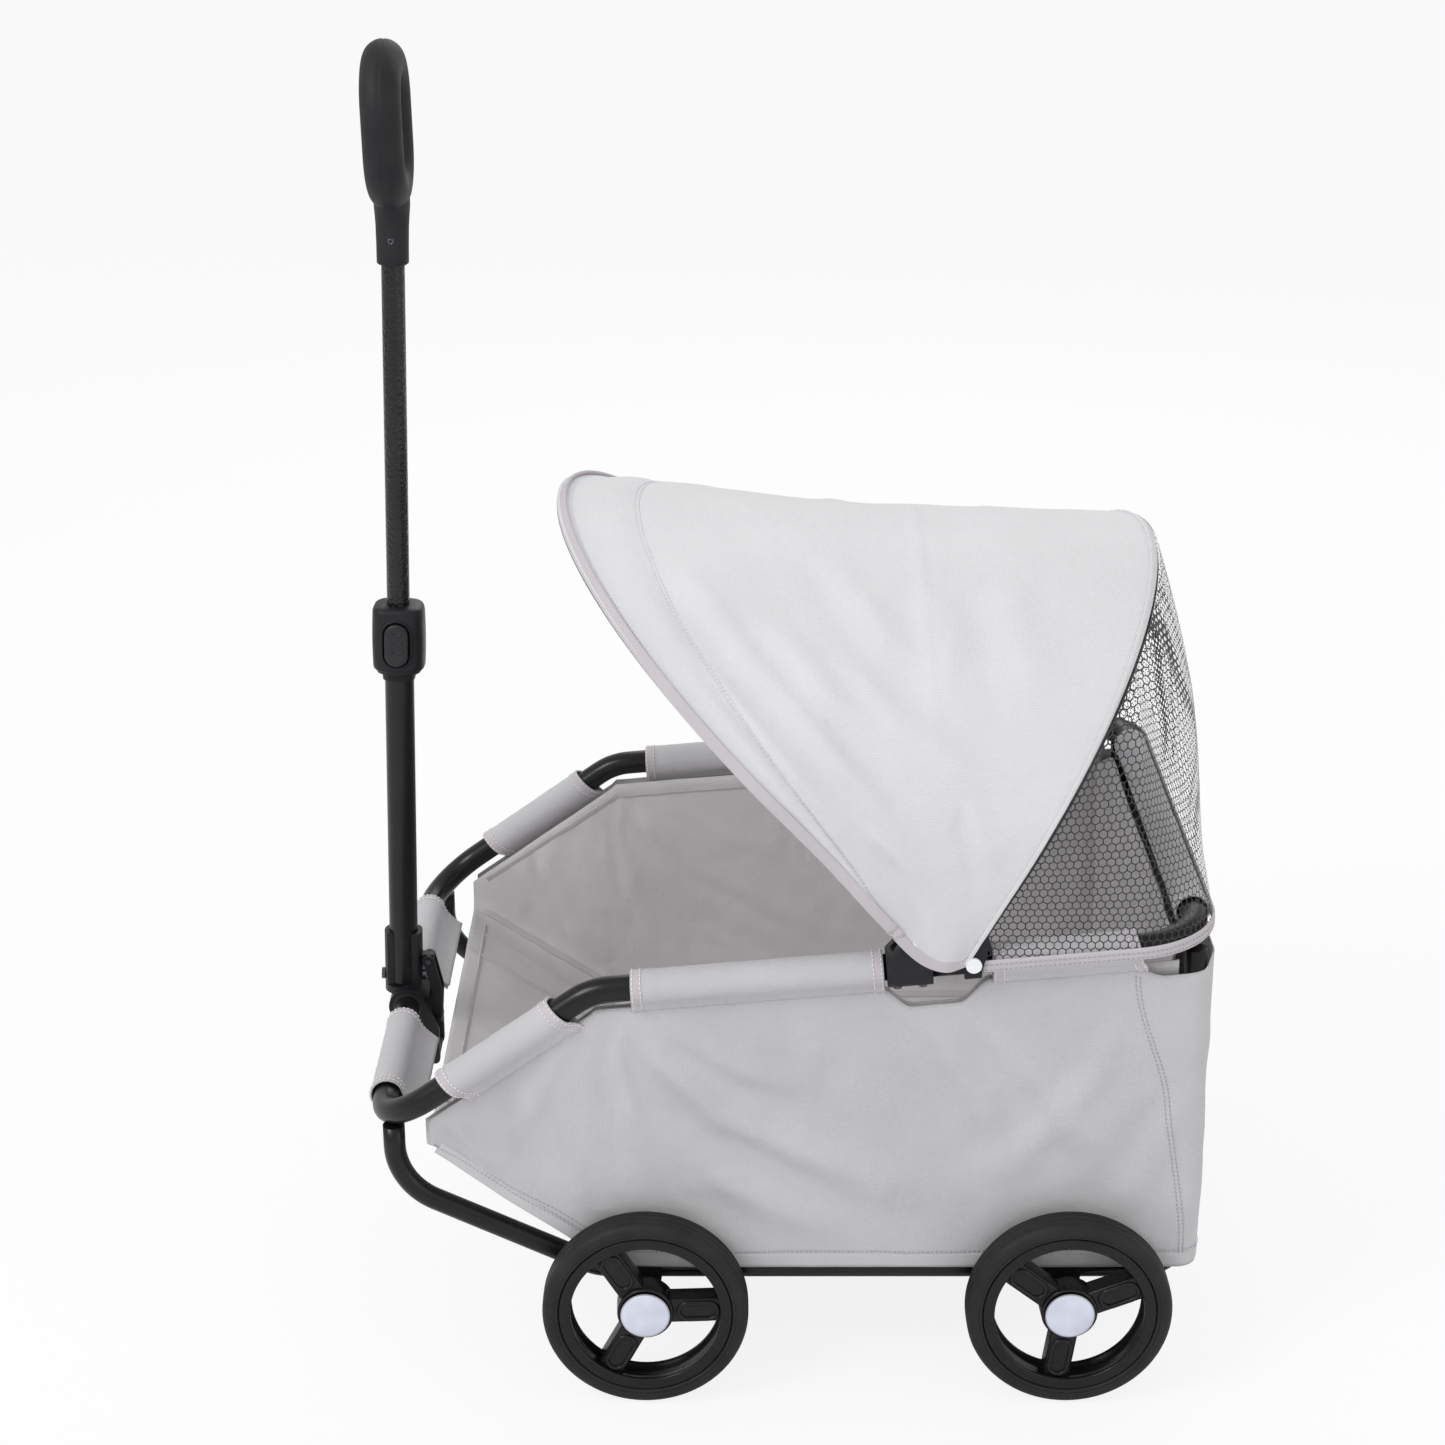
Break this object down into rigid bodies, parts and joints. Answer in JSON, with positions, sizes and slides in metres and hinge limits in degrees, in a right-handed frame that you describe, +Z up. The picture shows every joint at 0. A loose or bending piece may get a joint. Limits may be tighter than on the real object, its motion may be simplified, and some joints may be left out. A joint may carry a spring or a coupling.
{
  "type": "wagon with pull handle",
  "caption": "Children's pull wagon: fabric tub on a bent tube frame, four spoked wheels, folding half canopy with rear net, and a hinged telescopic pole with a loop handle.",
  "frame": {"origin": "on the ground, at the middle of the object's box", "axes": "+X to the rear (the pull pole stands at -X), +Y to the wagon's left, +Z up"},
  "size_m": [0.6225, 0.5034, 0.9502],
  "materials": {
    "frame_black": "black powder coat",
    "zinc_steel": "zinc plated",
    "black_plastic": "moulded, fine texture",
    "grip_black": "soft-touch",
    "pole_hammered": "glossy black with a fine hammered texture",
    "pole_satin": "satin black",
    "board_dark": "stiff fibre board",
    "tub_cloth": "light grey oxford weave",
    "canopy_cloth": "pale grey oxford weave",
    "net_black": "black net",
    "snap_pearl": "pearl",
    "hoop_rod": "glass-fibre rod",
    "bush_nylon": "nylon",
    "tyre_black": "matte",
    "wheel_black": "moulded",
    "cap_white": "satin white"
  },
  "bodies": {
    "chassis": {"rim_front_tube": "frame_black", "rim_rear_tube": "frame_black", "rim_joiners": "zinc_steel", "side_frame_left": "frame_black", "side_frame_right": "frame_black", "cross_tube_front": "frame_black", "cross_tube_rear": "frame_black", "axle_front": "zinc_steel", "axle_rear": "zinc_steel", "axle_block_front_left": "black_plastic", "axle_block_front_right": "black_plastic", "axle_block_rear_left": "black_plastic", "axle_block_rear_right": "black_plastic", "floor_board": "board_dark", "tub_side_left": "tub_cloth", "tub_side_right": "tub_cloth", "tub_front": "tub_cloth", "tub_rear": "tub_cloth", "tub_floor": "tub_cloth", "hinge_bush": "bush_nylon", "pole_bracket": "black_plastic", "canopy_clamp_left": "black_plastic", "canopy_clamp_right": "black_plastic", "clamp_screws": "zinc_steel", "rear_hoop": "hoop_rod", "rear_hoop_clips": "black_plastic", "clip_buttons": "snap_pearl", "rear_mesh": "net_black", "canopy_snaps": "snap_pearl", "hoop_hinge_pins": "zinc_steel"},
    "pole": {"pole_yoke": "black_plastic", "yoke_bolt": "zinc_steel", "lower_pole": "pole_satin", "lock_collar": "black_plastic", "latch_pin": "zinc_steel", "lock_spring": "zinc_steel"},
    "latch": {"latch_lever": "black_plastic"},
    "slider": {"upper_pole": "pole_hammered", "handle_grip": "grip_black", "grip_screw": "zinc_steel"},
    "button": {"lock_button": "black_plastic"},
    "hoop": {"front_hoop": "hoop_rod", "canopy_cloth": "canopy_cloth"},
    "wheel_front_left_body": {"tyre_front_left": "tyre_black", "wheel_front_left": "wheel_black", "bush_front_left": "bush_nylon", "cap_front_left": "cap_white"},
    "wheel_front_right_body": {"tyre_front_right": "tyre_black", "wheel_front_right": "wheel_black", "bush_front_right": "bush_nylon", "cap_front_right": "cap_white"},
    "wheel_rear_left_body": {"tyre_rear_left": "tyre_black", "wheel_rear_left": "wheel_black", "bush_rear_left": "bush_nylon", "cap_rear_left": "cap_white"},
    "wheel_rear_right_body": {"tyre_rear_right": "tyre_black", "wheel_rear_right": "wheel_black", "bush_rear_right": "bush_nylon", "cap_rear_right": "cap_white"}
  },
  "joints": [
    {"name": "pole_fold", "type": "hinge", "parent": "chassis", "child": "pole", "pos_m": [-0.29, 0, 0.209], "axis": [0, 1, 0], "range_deg": [-100, 0]},
    {"name": "pole_slide", "type": "slide", "parent": "pole", "child": "slider", "axis": [0.0262, 0, 0.9997], "range_m": [-0.243, 0]},
    {"name": "lock_press", "type": "slide", "parent": "pole", "child": "button", "axis": [0, 1, 0], "range_m": [0, 0.003], "stiffness_N_per_m": 600, "deforming": ["lock_spring"]},
    {"name": "latch_squeeze", "type": "hinge", "parent": "pole", "child": "latch", "pos_m": [-0.27363, 0, 0.24197], "axis": [0, 1, 0], "range_deg": [-25, 0], "stiffness_Nm_per_rad": 0.3},
    {"name": "canopy_fold", "type": "hinge", "parent": "chassis", "child": "hoop", "pos_m": [0.088, 0, 0.36399], "axis": [0, 1, 0], "range_deg": [0, 62], "deforming": ["canopy_cloth"]},
    {"name": "wheel_front_left_spin", "type": "hinge", "parent": "chassis", "child": "wheel_front_left_body", "pos_m": [-0.099, 0.237, 0.075], "axis": [0, 1, 0], "continuous": true},
    {"name": "wheel_front_right_spin", "type": "hinge", "parent": "chassis", "child": "wheel_front_right_body", "pos_m": [-0.099, -0.237, 0.075], "axis": [0, 1, 0], "continuous": true},
    {"name": "wheel_rear_left_spin", "type": "hinge", "parent": "chassis", "child": "wheel_rear_left_body", "pos_m": [0.209, 0.237, 0.075], "axis": [0, 1, 0], "continuous": true},
    {"name": "wheel_rear_right_spin", "type": "hinge", "parent": "chassis", "child": "wheel_rear_right_body", "pos_m": [0.209, -0.237, 0.075], "axis": [0, 1, 0], "continuous": true}
  ]
}
